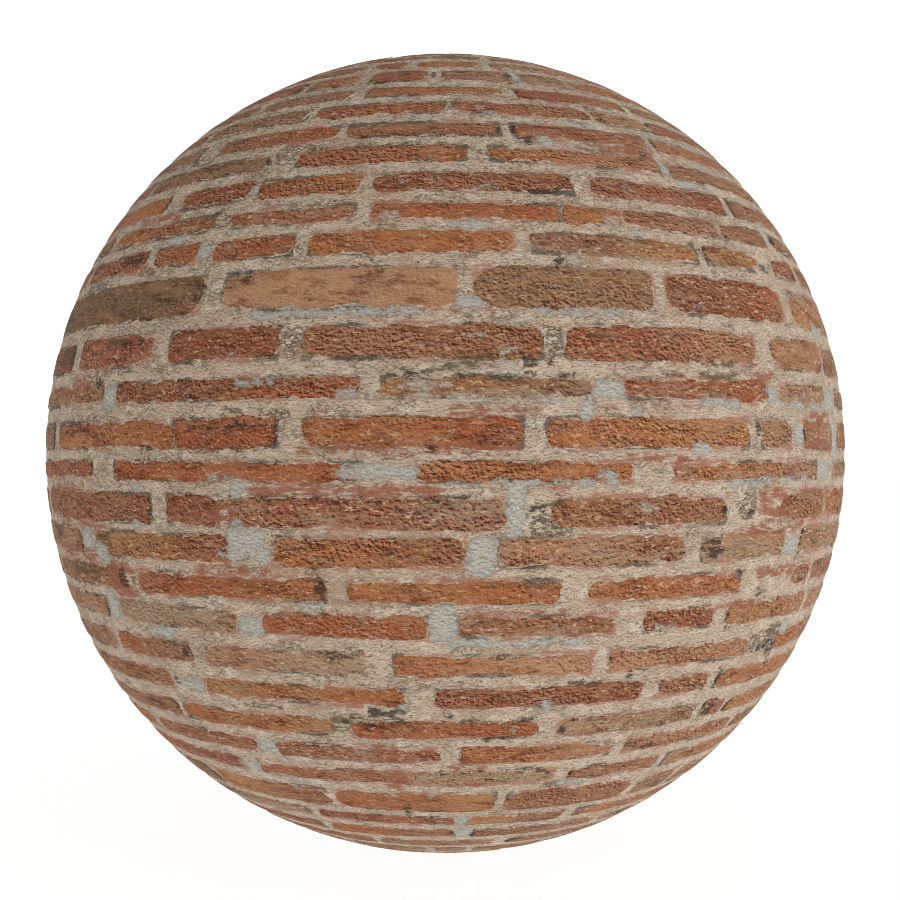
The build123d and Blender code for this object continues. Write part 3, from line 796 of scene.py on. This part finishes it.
@dataclass(frozen=True)
class Stains:
    """Lime, cream, soot, moss, brick dust and buff smears over brick and joint alike, the lime and cream with a
    painted highlight and painted shade on their lumps.
    """

    lime: Screen = (198, 187, 169)
    lime_rim: Screen = (162, 165, 159)
    cream: Screen = (192, 178, 158)
    soot: Screen = (56, 46, 38)
    moss: Screen = (98, 84, 56)
    blush: Screen = (162, 100, 74)
    buff: Screen = (180, 144, 112)
    contour: Screen = (90, 76, 62)
    # Painted shade and painted highlight on the lumps of the lime and cream marks.
    lime_painted_shade: Screen = (138, 130, 116)
    lime_painted_highlight: Screen = (206, 202, 192)

    def lay(self, wires: Wiring, colour: object) -> Socket:
        """Lays the marks over a colour.

        Args:
            wires: The material's wiring.
            colour: The colour under them.

        Returns:
            The stained colour.
        """
        place = wires.flattened(1.6)
        rag = wires.minus(wires.noise(place, 44.0, 5.0, 0.66), 0.5)
        fray = wires.minus(wires.noise(wires.moved(place, (5, 5, 5)), 230.0, 3.0, 0.7), 0.5)
        rough_edge = wires.plus(wires.times(rag, 38.0), wires.times(fray, 20.0))
        grain = wires.between(fray, -0.14, 0.14)
        broken = wires.between(wires.streaks(), 0.4, 0.5)
        # Shares of painted highlight on upper lips and painted shade under them, for the lime and cream.
        lit, shaded = wires.lips(wires.moved(place, (3, 3, 3)), 150.0, (0.0008, 0.0, 0.003))
        # Each mark, how softly it ends in millimetres, and how much it hides.
        for kind, tint, soft, most in (
            (Mark.BLUSH, self.blush, 4.0, 0.9),
            (Mark.BUFF, self.buff, 4.0, 0.6),
            (Mark.MOSS, self.moss, 2.6, 0.8),
            (Mark.CREAM, self.cream, 1.6, 0.75),
            (Mark.LIME, self.lime, 1.8, 0.74),
            (Mark.SOOT, self.soot, 1.8, 0.85),
        ):
            reach = wires.plus(wires.kept(kind.value), rough_edge)
            low, high = tuple(round(c * 0.8) for c in tint), tuple(min(255, round(c * 1.06)) for c in tint)
            if kind is Mark.LIME:
                reach = wires.plus(reach, 1.9)
                colour = wires.over(colour, self.lime_rim, wires.between(reach, 2.8, 0.8, 0.6))
                low, high = self.lime_rim, self.lime
            share = wires.between(reach, soft, -soft, most)
            if kind in (Mark.LIME, Mark.CREAM):
                colour = wires.over(colour, self.contour, wires.between(wires.off(reach, 1.9), 1.1, 0.3, 0.55))
                worn = wires.over(low, high, wires.between(reach, -1.0, -9.0))
                # The lime's or cream's own tint, with painted shade and painted highlight laid over it.
                worn = wires.over(worn, self.lime_painted_shade, wires.times(shaded, 0.95))
                worn = wires.over(worn, self.lime_painted_highlight, wires.times(lit, 0.9))
                share = wires.times(share, wires.between(fray, -0.13, -0.04))
            else:
                worn = wires.over(low, high, grain)
                share = wires.times(share, broken)
            colour = wires.over(colour, worn, share)
        return colour


@dataclass(frozen=True)
class Rims:
    """Where the bricks' edges carry a dark line of dirt and painted contact shade, and where they are smeared with
    brick dust.
    """

    dust: Screen = (166, 110, 84)
    # Dark line along the bricks' edges: dirt, and the painted contact shade between brick and joint.
    grime_and_contact_shade: Screen = (52, 39, 31)
    leftward: float = 0.02
    upward: float = 0.06

    def shares(self, wires: Wiring) -> tuple[Socket, Socket]:
        """Tells edges with a dark line of dirt and painted contact shade from dusty ones, in patches the size of a
        hand.

        Args:
            wires: The material's wiring.

        Returns:
            Share of the dark line of dirt and painted contact shade, and share of dust.
        """
        where = wires.noise(wires.moved(wires.place(), (7, 3, 2)), 12.0, 3.0, 0.6)
        where = wires.leaning(where, self.leftward, self.upward)
        dusted = wires.times(wires.between(where, 0.49, 0.42), wires.between(wires.streaks(), 0.42, 0.5))
        return wires.between(where, 0.49, 0.57), dusted


@dataclass(frozen=True)
class OldClay:
    """Hand-made brick: pitted, speckled and dusted, ragged where the mortar laps it, with a painted highlight and
    painted shade on its scaly relief, and along its edges a dark line of dirt and painted contact shade.
    """

    mortar: LimeMortar = LimeMortar()
    stains: Stains = Stains()
    rims: Rims = Rims()
    dull: Screen = (180, 156, 146)
    # Bright tone of the clay, and also the painted highlight on its scaly lips.
    bright_and_highlight: Screen = (224, 160, 106)
    # Dark tone of the pits, and also the painted shade under the scaly lips.
    deep_and_shade: Screen = (94, 70, 60)
    fleck: Screen = (212, 182, 146)
    haze: Screen = (172, 146, 120)

    def material(self) -> bpy.types.Material:
        """Makes the finish of every laid brick.

        Returns:
            The material.
        """
        wires = Wiring(bpy.data.materials.new("old_clay"))
        laid, clay = wires.kept("laid", "Vector"), wires.kept("clay", "Color")
        pitted, dusty, outlined = wires.parts(wires.kept("habit", "Vector"))
        grain = wires.stretch(laid, (0.4, 1.0, 1.0))
        patches = wires.noise(wires.moved(grain, (3, 7, 1)), 24.0, 3.0, 0.6)
        mottle = wires.noise(grain, 60.0, 3.0, 0.6)
        specks = wires.noise(wires.moved(grain, (4, 2, 7)), 260.0, 4.0, 0.75)
        veil = wires.noise(wires.moved(grain, (1, 9, 5)), 40.0, 5.0, 0.72)
        flecks = wires.noise(wires.moved(grain, (8, 1, 3)), 215.0, 3.0, 0.7)
        chips = wires.moved(wires.stretch(laid, (0.8, 1.0, 1.0)), (2, 6, 4))
        # Shares of painted highlight and painted shade on a scaly relief, as if lit from above.
        lit, shaded = wires.lips(chips, 205.0, (0.0009, 0.0017, 0.0))

        dull = wires.over(clay, self.dull, 1.0, "MULTIPLY")
        bright_and_highlight = wires.over(clay, self.bright_and_highlight, 0.56)
        deep_and_shade = wires.over(clay, self.deep_and_shade, 1.0, "MULTIPLY")
        colour = wires.over(dull, clay, wires.between(mottle, 0.36, 0.5))
        colour = wires.over(colour, self.rims.dust, wires.between(patches, 0.52, 0.62, 0.5))
        colour = wires.over(colour, bright_and_highlight, wires.between(patches, 0.46, 0.36, 0.35))
        pits = wires.times(wires.between(specks, 0.43, 0.37), wires.between(pitted, 0.0, 0.8))
        colour = wires.over(colour, deep_and_shade, pits)
        calm = wires.plus(wires.between(patches, 0.4, 0.56, 0.5), 0.5)
        rough = wires.times(wires.between(pitted, -0.5, 1.0), calm)
        # Painted shade under the scaly lips and painted highlight on them, stronger on pitted bricks and weaker where
        # the clay is bright.
        colour = wires.over(colour, deep_and_shade, wires.times(shaded, wires.times(rough, 0.95)))
        colour = wires.over(colour, bright_and_highlight, wires.times(lit, wires.times(rough, 0.8)))
        pale = wires.times(wires.between(flecks, 0.595, 0.635, 0.95), wires.plus(dusty, 0.4))
        colour = wires.over(colour, self.fleck, pale)
        haze = wires.times(wires.between(veil, 0.46, 0.6, 0.95), wires.between(specks, 0.42, 0.54))
        colour = wires.over(colour, self.haze, wires.times(haze, dusty))

        creep = wires.minus(wires.noise(wires.moved(wires.flattened(1.4), (1, 4, 8)), 34.0, 3.0, 0.55), 0.47)
        edge = wires.plus(wires.plus(wires.kept("edge"), wires.rag()), wires.times(creep, 17.0))
        grime_shade_share, dusted = self.rims.shares(wires)
        colour = wires.over(colour, self.rims.dust, wires.times(wires.between(edge, 7.0, 1.5, 0.55), dusted))
        # A dark line just inside the brick's edge: dirt, and a painted contact shade where the brick meets the joint.
        line = wires.times(wires.between(edge, 3.0, 1.2, 0.85), wires.between(specks, 0.54, 0.44))
        drawn = wires.larger(wires.times(grime_shade_share, outlined), wires.minus(outlined, 1.0))
        colour = wires.over(colour, self.rims.grime_and_contact_shade, wires.times(line, drawn))
        colour = wires.over(colour, self.mortar.paint(wires), wires.between(edge, 0.3, -0.5))
        relief = wires.plus(specks, wires.times(wires.minus(lit, shaded), 0.12))
        return wires.finish(self.stains.lay(wires, colour), relief, 0.0042)


@dataclass(frozen=True)
class OldPointing:
    """The joints: lime mortar with hairlines; along the bricks, brick dust in some places and a dark line of dirt and
    painted contact shade in others.
    """

    mortar: LimeMortar = LimeMortar()
    stains: Stains = Stains()
    rims: Rims = Rims()

    def material(self) -> bpy.types.Material:
        """Makes the finish of the joint surface.

        Returns:
            The material.
        """
        wires = Wiring(bpy.data.materials.new("old_pointing"))
        colour = self.mortar.hairlines(wires, self.mortar.paint(wires))
        near = wires.plus(wires.kept("edge"), wires.rag())
        grime_shade_share, dusted = self.rims.shares(wires)
        colour = wires.over(colour, self.rims.dust, wires.times(wires.between(near, 6.0, 2.0, 0.8), dusted))
        # A dark line on the joint beside the bricks: dirt, and a painted contact shade where the joint meets them.
        colour = wires.over(colour, self.rims.grime_and_contact_shade, wires.times(wires.between(near, 3.2, 1.0, 0.7), grime_shade_share))
        lumps = wires.noise(wires.flattened(1.4), 110.0, 5.0, 0.75)
        return wires.finish(self.stains.lay(wires, colour), lumps, 0.0055, 0.95)


@dataclass(frozen=True)
class RubbleCore:
    """The hidden core: broken brick in lime."""

    lime: Screen = (168, 152, 130)

    def material(self) -> bpy.types.Material:
        """Makes the finish of the core, each lump its own clay.

        Returns:
            The material.
        """
        wires = Wiring(bpy.data.materials.new("core_rubble"))
        lumps = wires.node("ShaderNodeTexVoronoi", {"Vector": wires.place(), "Scale": 18.0}).outputs["Distance"]
        clay = wires.over(Clay.DARK_RED.value, Clay.TAN.value, wires.noise(wires.place(), 30.0))
        return wires.finish(wires.over(clay, self.lime, wires.between(lumps, 0.25, 0.6)), lumps, 0.004)


@dataclass
class Brickwork:
    """The ring courses, one joined piece a course, each brick a worn copy of one master."""

    columns: int = 44
    rows: int = 8
    lap: float = 3.0  # how far a brick runs on under the mortar
    sink: float = 2.6  # how far it drops there
    proud: float = 0.35  # how far its face lies inside the ball's
    inset: float = 0.55  # and how much further, as room for its wear
    skin: float = 0.05  # what is always left between it and the ball's face
    bedded: Span = (0.0, 0.7)  # how much deeper one brick lies than another
    wear: tuple[Triple, ...] = ((0.45, 34, 2), (0.3, 9, 3))
    depth: float = 16.0
    tilt: float = 1.9
    loss: Span = (-0.8, 3.0)  # worn off its upper or lower edge
    slant: float = 3.5
    worn_end: float = 25.0
    right_dust: float = 0.35  # more lime dust towards the right
    sight: float = 70.0  # longitude past which the photograph shows no brick's end
    side: float = 96.0  # longitude that no laid brick passes
    joint: Span = (16, 36)
    last_joint: float = 24.0
    side_length: Span = (235, 340)
    whole_length: Span = (255, 325)
    cut_length: Span = (110, 170)
    cut_share: float = 0.12
    fading_share: float = 0.35
    least_room: float = 60.0  # what a ring needs left for one more brick
    least_rest: float = 90.0  # what the last brick takes up with it
    least_length: float = 40.0
    seed: int = 5

    def __post_init__(self) -> None:
        """Models the master brick and starts the random stream."""
        self.master = slab("master_brick", self.columns, self.rows)
        self.grid = corners_of(self.master.data)
        self.luck = np.random.default_rng(self.seed)
        self.outlines: list[Patch] = []

    def bands(self) -> list[Span]:
        """Measures the courses off, from the foot up.

        Returns:
            Lowest and highest latitude of each.
        """
        made, lat = [], FOOT_TOP
        for bed, brick in BEDS_AND_BRICKS:
            low = lat + bed / MM_PER_DEGREE
            lat = low + brick / MM_PER_DEGREE
            made.append((low, lat))
        return made

    def filled(self, number: int, low: float, high: float) -> list[Laid]:
        """Fills a whole ring: the laid front, then like bricks round the back.

        Args:
            number: Course number from the foot up.
            low: Lowest latitude of the course.
            high: Highest latitude of the course.

        Returns:
            The bricks in order round the ball.
        """
        luck, ring = self.luck, [Laid(*brick) for brick in FRONT_BRICKS[number]]
        per_mm = 1 / (MM_PER_DEGREE * math.cos(math.radians((low + high) / 2)))
        left, right = ring[0], ring[-1]
        start = min(max(left.start, -self.sight), left.end - luck.uniform(*self.side_length) * per_mm)
        end = max(min(right.end, self.sight), right.start + luck.uniform(*self.side_length) * per_mm)
        ring[0] = replace(left, start=max(start, -self.side))
        ring[-1] = replace(right, end=min(end, self.side))
        reached, stop = ring[-1].end, ring[0].start + 360
        clays, odds = list(BACK_CLAYS), np.array(list(BACK_CLAYS.values()), float)
        while True:
            gap = luck.uniform(*self.joint) * per_mm
            room = stop - reached - self.last_joint * per_mm
            if room < self.least_room * per_mm:
                break
            whole = luck.random() > self.cut_share
            length = luck.uniform(*(self.whole_length if whole else self.cut_length))
            length = min(length * per_mm, room - gap)
            if room - gap - length < self.least_rest * per_mm:
                length = room - gap
            if length < self.least_length * per_mm:
                break
            body, other = luck.choice(len(clays), 2, p=odds / odds.sum())
            habits = "".join(habit for habit, often in BACK_HABITS.items() if luck.random() < often)
            fading_to = clays[other] if luck.random() < self.fading_share else None
            ring.append(Laid(reached + gap, reached + gap + length, clays[body], habits, fading_to))
            reached += gap + length
        return ring

    def copied(self, points: np.ndarray, kept: dict[str, object]) -> bpy.types.Object:
        """Copies the master brick.

        Args:
            points: Where the vertices of the copy go.
            kept: What its finish reads.

        Returns:
            The copy.
        """
        copy = self.master.copy()
        copy.data = self.master.data.copy()
        bpy.context.scene.collection.objects.link(copy)
        place_corners(copy.data, points)
        keep(copy.data, kept)
        return copy

    def brick(self, laid: Laid, low: float, high: float) -> bpy.types.Object:
        """Lays one brick: a copy of the master, worn to its own outline and bent to the ball.

        Args:
            laid: Where it lies and what it is like.
            low: Lowest latitude.
            high: Highest latitude.

        Returns:
            The brick, with what its finish reads kept on it.
        """
        luck, habits = self.luck, laid.habits
        middle_lon, middle_lat = (laid.start + laid.end) / 2, (low + high) / 2
        across = MM_PER_DEGREE * math.cos(math.radians(middle_lat))
        length, height = (laid.end - laid.start) * across, (high - low) * MM_PER_DEGREE
        s, t, z = self.grid.T
        s, t = crowded(s, 1.3), crowded(t, 1.6)
        u = s * (length / 2 + self.lap)
        own = luck.uniform(0, 900)

        left, right = u + length / 2, length / 2 - u
        upper, lower = np.ones(len(u)), np.ones(len(u))
        for away, rounded, tapered in ((left, "l" in habits, "L" in habits), (right, "r" in habits, "R" in habits)):
            for shape in (upper, lower):
                radius = height * (luck.uniform(0.4, 0.8) if rounded else luck.uniform(0.2, 0.6))
                lost = np.clip(1 - np.maximum(away, 0) / radius, 0, 1)
                floor = 0.2 if rounded else luck.uniform(0.35, 0.65)
                shape *= floor + (1 - floor) * np.sqrt(1 - lost**2)
                if tapered:
                    shape *= 0.7 + 0.3 * ease(away / min(length * 0.3, 70))
        tilt = luck.uniform(-self.tilt, self.tilt) * s
        upper_loss, lower_loss = luck.uniform(*self.loss), luck.uniform(*self.loss)
        top = (height / 2 - upper_loss) * upper + 3.2 * wander(u, 55, own) + 2.1 * wander(u, 20, own + 9) + tilt
        bottom = -(height / 2 - lower_loss) * lower + 3.2 * wander(u, 55, own + 31)
        bottom = bottom + 2.1 * wander(u, 20, own + 47) + tilt
        v = (top + bottom) / 2 + t * ((top - bottom) / 2 + self.lap)
        near_end = ease((np.abs(u) - length / 2 + self.worn_end) / self.worn_end)
        slant = np.where(u < 0, luck.uniform(-self.slant, self.slant), luck.uniform(-self.slant, self.slant))
        u = u + near_end * (slant * t + 1.2 * wander(v + own, 9, own + 3))
        edge = np.minimum(np.minimum(top - v, v - bottom), np.minimum(left, right))

        lat = middle_lat + v / MM_PER_DEGREE
        lon = middle_lon + u / (MM_PER_DEGREE * np.cos(np.radians(lat)))
        worn = swells(on_ball(lon, lat, np.full(len(u), FACE)) / MM, self.wear)
        sunk = (1 - ease((edge + self.lap) / 4.0)) * self.sink
        radius = FACE - self.proud - luck.uniform(*self.bedded) - self.inset - worn - sunk
        radius = np.minimum(radius, FACE - self.skin) + z * self.depth

        shade = luck.uniform(0.93, 1.07)
        share = ease((s + 0.5 + 0.3 * wander(u, 30, own + 5)) / 1.2)[:, None]
        first, second = (np.array(linear(*clay.value)) for clay in (laid.clay, laid.fading_to or laid.clay))
        body = first * (1 - share) + second * share
        body[:, :3] *= shade
        pitted = 1.0 if "p" in habits else 0.15 if "s" in habits else 0.55
        dusty = 0.85 if "d" in habits else 0.1 if "s" in habits else 0.3
        dusty += self.right_dust * float(ease(np.array((middle_lon - 15) / 35))) * float(middle_lon < 90)
        outlined = 1.7 if "o" in habits else luck.uniform(0.5, 1.0)
        marks = mark_distances(lon, lat)
        for away, blackened in ((left, "k" in habits), (right, "K" in habits)):
            if blackened:
                marks["soot"] = np.minimum(marks["soot"], away - luck.uniform(2, 5))
        self.outlines.append((laid.start, laid.end, low, high))
        kept = {
            "clay": body,
            "laid": np.stack([u, v, np.full(len(u), own)], 1) * MM,
            "edge": edge,
            "habit": (pitted, dusty, outlined),
        }
        return self.copied(on_ball(lon, lat, radius), kept | marks)

    def build(self, finish: bpy.types.Material) -> None:
        """Lays every course in the stead of its ring of the frame.

        Args:
            finish: Finish of the bricks.
        """
        for number, (low, high) in enumerate(self.bands(), 1):
            bricks = [self.brick(laid, low, high) for laid in self.filled(number, low, high)]
            piece = joined(bricks, f"laid_course_{number:02d}")
            dress(piece, finish)
            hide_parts(f"brick_course_{number:02d}")
            report(piece)


@dataclass
class Foot:
    """Short bricks round the flat foot, and the wedges of brick on its underside."""

    around: int = 9
    spokes: int = 10
    gap: float = 14.0
    first: float = -14.0
    rim: float = 8.0
    hub: float = 26.0
    half_joint: float = 6.0
    depth: float = 12.0
    sink: float = 2.0

    def build(self, brickwork: Brickwork, finish: bpy.types.Material) -> None:
        """Lays the foot ring and the bricks seen from below.

        Args:
            brickwork: Lays the bricks.
            finish: Their finish.
        """
        turn = 360 / self.around
        clays = (C.BROWN, C.RED_BROWN, C.DUSTY)
        low, high = FOOT_EDGE + 0.25, FOOT_TOP - 0.15
        half_gap = self.gap / 2 / (MM_PER_DEGREE * math.cos(math.radians(low)))
        parts = []
        for n in range(self.around):
            start, end = n * turn + self.first + half_gap, (n + 1) * turn + self.first - half_gap
            parts.append(brickwork.brick(Laid(start, end, clays[n % 3], "d"), low, high))
        parts += [self.underside(brickwork, n) for n in range(self.spokes)]
        piece = joined(parts, "laid_foot")
        dress(piece, finish)
        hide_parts("foot_course")
        report(piece)

    def underside(self, brickwork: Brickwork, number: int) -> bpy.types.Object:
        """Lays one wedge of brick on the flat underside.

        Args:
            brickwork: Holds the master brick.
            number: Which wedge.

        Returns:
            The wedge.
        """
        s, t, z = brickwork.grid.T
        turn = math.radians(360 / self.spokes)
        outer = FOOT_RADIUS - self.rim
        reach = self.hub + (t + 1) / 2 * (outer - self.hub)
        angle = (number + 0.5) * turn + s * (turn / 2 - self.half_joint / reach)
        edge = np.minimum(np.minimum(outer - reach, reach - self.hub), (1 - np.abs(s)) * reach * turn / 2)
        height = (1 - ease((edge + 1) / 4)) * self.sink - z * self.depth
        points = np.stack([reach * np.sin(angle), -reach * np.cos(angle), height], 1) * MM
        kept = {
            "clay": linear(*(C.RED_BROWN, C.BROWN, C.DARK_RED)[number % 3].value),
            "laid": np.stack([s * 40, reach, np.full(len(s), number * 50.0)], 1) * MM,
            "edge": edge,
            "habit": (0.5, 0.7, 0.3),
        }
        wedge = brickwork.copied(points, kept | UNMARKED)
        with editing(wedge):
            bpy.ops.mesh.normals_make_consistent(inside=False)
        return wedge


@dataclass
class Crown:
    """Cut bricks side by side that close the top."""

    reach: float = 104.0
    strips: tuple[Span, ...] = ((-100.0, -60.0), (-48.0, -8.0), (4.0, 44.0), (56.0, 100.0))
    inset: float = 0.9
    wear: tuple[Triple, ...] = ((0.4, 30, 6),)

    def build(self, brickwork: Brickwork, finish: bpy.types.Material) -> None:
        """Lays the strips and joins them."""
        parts = [self.strip(brickwork, n, near, far) for n, (near, far) in enumerate(self.strips)]
        piece = joined(parts, "laid_crown")
        dress(piece, finish)
        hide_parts("crown_closer")
        report(piece)

    def strip(self, brickwork: Brickwork, number: int, near: float, far: float) -> bpy.types.Object:
        """Lays one cut brick across the top.

        Args:
            brickwork: Holds the master brick.
            number: Which strip.
            near: How far behind the middle its front side lies.
            far: How far behind the middle its back side lies.

        Returns:
            The strip.
        """
        s, t, z = brickwork.grid.T
        y = (near + far) / 2 + crowded(t, 1.6) * ((far - near) / 2 + brickwork.lap)
        bound = np.sqrt(np.maximum(self.reach**2 - np.minimum(np.abs(y), self.reach * 0.985) ** 2, 0))
        x = s * bound
        edge = np.minimum(np.minimum(far - y, y - near), bound - np.abs(x))
        sunk = (1 - ease((edge + brickwork.lap) / 4.0)) * brickwork.sink
        radius = FACE - self.inset - swells(np.stack([x, y, np.full(len(x), FACE)], 1), self.wear) - sunk
        radius = np.minimum(radius, FACE - brickwork.skin) + z * brickwork.depth
        outward = np.stack([x, y, np.sqrt(FACE**2 - x**2 - y**2)], 1) / FACE
        kept = {
            "clay": linear(*(C.RED_BROWN, C.BROWN, C.DUSTY, C.RED)[number % 4].value),
            "laid": np.stack([x, y, np.full(len(x), number * 70.0)], 1) * MM,
            "edge": edge,
            "habit": (0.6, 0.6, 0.5),
        }
        return brickwork.copied((outward * radius[:, None] + (0, 0, CENTRE_HEIGHT)) * MM, kept | UNMARKED)


@dataclass(frozen=True)
class Panel:
    """One panel of joint surface: its longitudes, its latitudes and its faces each way."""

    name: str
    left: float
    right: float
    low: float
    high: float
    columns: int
    rows: int


@dataclass
class Pointing:
    """The joint surface between the bricks: front panels fine, back panels coarser."""

    level: float = 2.5
    lumps: tuple[Triple, ...] = ((0.5, 45, 11), (0.45, 14, 12), (0.2, 6, 13))
    thickness: float = 40.0
    lowest: float = 1.5
    bed_inset: float = 3.0
    panels: tuple[Panel, ...] = (
        Panel("pointing_front_upper", -78.0, 78.0, 7.0, 90.0, 380, 200),
        Panel("pointing_front_lower", -78.0, 78.0, FOOT_EDGE, 7.0, 380, 200),
        Panel("pointing_back_upper", 78.0, 282.0, 7.0, 90.0, 250, 100),
        Panel("pointing_back_lower", 78.0, 282.0, FOOT_EDGE, 7.0, 250, 100),
    )

    def build(self, outlines: list[Patch], finish: bpy.types.Material) -> None:
        """Builds the panels, and the bed under the foot.

        Args:
            outlines: Where the bricks lie.
            finish: Finish of the joints.
        """
        pieces = [self.panel(panel, outlines) for panel in self.panels] + [self.bed()]
        for piece in pieces:
            dress(piece, finish)
            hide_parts("joint_mortar")
            report(piece)

    def panel(self, panel: Panel, outlines: list[Patch]) -> bpy.types.Object:
        """Builds one panel, closed where it meets at the pole.

        Args:
            panel: Where it lies.
            outlines: Where the bricks lie.

        Returns:
            The panel.
        """
        made = slab(panel.name, panel.columns, panel.rows)
        s, t, z = corners_of(made.data).T
        lon = panel.left + (s + 1) / 2 * (panel.right - panel.left)
        lat = panel.low + (t + 1) / 2 * (panel.high - panel.low)
        uneven = swells(on_ball(lon, lat, np.full(len(s), FACE)) / MM, self.lumps)
        points = on_ball(lon, lat, FACE - self.level + uneven + z * self.thickness)
        points[:, 2] = np.maximum(points[:, 2], self.lowest * MM)
        place_corners(made.data, points)
        edge = nearest(lon, lat, outlines, CLEAR_OF_BRICKS, 1.7, 0.0)
        keep(made.data, mark_distances(lon, lat) | {"edge": edge})
        with editing(made):
            bpy.ops.mesh.remove_doubles(threshold=0.00002)
        return joined([made], panel.name)

    def bed(self) -> bpy.types.Object:
        """Lays the mortar under the foot.

        Returns:
            The bed.
        """
        choose()
        radius = (FOOT_RADIUS - self.bed_inset) * MM
        bpy.ops.mesh.primitive_cylinder_add(vertices=96, radius=radius, depth=0.03, location=(0, 0, 0.0175))
        bpy.ops.object.transform_apply(location=True)
        made = bpy.context.object
        with editing(made):
            bpy.ops.mesh.bevel(offset=0.003, segments=2)
        keep(made.data, UNMARKED | {"edge": CLEAR_OF_BRICKS})
        return joined([made], "pointing_bed")


@dataclass
class Stage:
    """White floor, camera and soft light."""

    away: float = 3.277 * FACE * MM
    lens: float = 50.0
    sensor: float = 36.0
    ball_left_by: float = 4.67
    ball_down_by: float = 3.41
    picture: float = 900.0
    floor_size: float = 60.0
    ground: float = 1.0
    shown_ground: float = 1.1
    shown_glow: float = 0.85
    horizon: float = 0.93
    zenith: float = 0.3
    backdrop: float = 1.1
    crisp: float = 1.0
    key: float = 1.9
    key_from: Triple = (2.7, -1.9, 0.25)
    key_spread: float = 60.0

    def floor(self) -> None:
        """A floor that shows white and keeps a faint shadow."""
        choose()
        bpy.ops.mesh.primitive_plane_add(size=self.floor_size, location=(0, 0, 0))
        floor = bpy.context.object
        floor.name = "stage_floor"
        wires = Wiring(bpy.data.materials.new("stage_white"))
        light = wires.node("ShaderNodeEmission", {"Strength": self.ground}).outputs[0]
        pale = wires.node("ShaderNodeBsdfDiffuse", {0: (0.9, 0.9, 0.9, 1)}).outputs[0]
        glow = wires.node("ShaderNodeEmission", {"Strength": self.shown_ground}).outputs[0]
        shown = wires.node("ShaderNodeMixShader", {0: self.shown_glow, 1: pale, 2: glow}).outputs[0]
        both = wires.node("ShaderNodeMixShader", {0: wires.seen(), 1: light, 2: shown}).outputs[0]
        wires.node("ShaderNodeOutputMaterial", {0: both})
        floor.data.materials.append(wires.owner)
        floor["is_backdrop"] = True

    def world(self) -> None:
        """An even sky, white where it is seen."""
        wires = Wiring(bpy.data.worlds.new("stage_sky"))
        bpy.context.scene.world = wires.owner
        _, _, height = wires.parts(wires.node("ShaderNodeTexCoord").outputs["Generated"])
        dome = wires.between(height, 0.0, 1.0, self.zenith, self.horizon)
        level = wires.between(wires.seen(), 0.0, 1.0, self.backdrop, dome)
        back = wires.node("ShaderNodeBackground", {0: (1, 1, 1, 1), 1: level}).outputs[0]
        wires.node("ShaderNodeOutputWorld", {0: back})

    def lamps(self) -> None:
        """One broad soft lamp from the right and the front."""
        lamp = bpy.data.lights.new("key", "SUN")
        lamp.energy = self.key
        lamp.angle = math.radians(self.key_spread)
        holder = bpy.data.objects.new("key", lamp)
        holder.rotation_euler = Vector(self.key_from).to_track_quat("Z", "Y").to_euler()
        bpy.context.scene.collection.objects.link(holder)

    def camera(self) -> None:
        """The picture's own camera, level with the middle of the ball."""
        data = bpy.data.cameras.new("view")
        data.lens = self.lens
        data.sensor_width = self.sensor
        data.shift_x = self.ball_left_by / self.picture
        data.shift_y = self.ball_down_by / self.picture
        holder = bpy.data.objects.new("view", data)
        holder.location = (0, -self.away, CENTRE_HEIGHT * MM)
        holder.rotation_euler = (math.radians(90), 0, 0)
        bpy.context.scene.collection.objects.link(holder)
        bpy.context.scene.camera = holder

    def build(self) -> None:
        """Sets the whole stage."""
        self.camera()
        self.floor()
        self.world()
        self.lamps()
        scene = bpy.context.scene
        scene.view_settings.view_transform = "Standard"
        scene.cycles.filter_width = self.crisp


def main() -> None:
    """Builds and dresses the ball in order."""
    logging.basicConfig(level=logging.INFO, format="%(name)s %(message)s")
    Stage().build()
    clay, joint = OldClay().material(), OldPointing().material()
    brickwork = Brickwork()
    brickwork.build(clay)
    Foot().build(brickwork, clay)
    Crown().build(brickwork, clay)
    Pointing().build(brickwork.outlines, joint)
    bpy.data.objects.remove(brickwork.master)
    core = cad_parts["rubble_core"]
    core.data.materials.clear()
    core.data.materials.append(RubbleCore().material())
    choose()
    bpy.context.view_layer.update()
    total = sum(len(o.data.loop_triangles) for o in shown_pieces() if o.type == "MESH")
    log.info("in all: %d triangles", total)


if __name__ == "__main__":
    main()
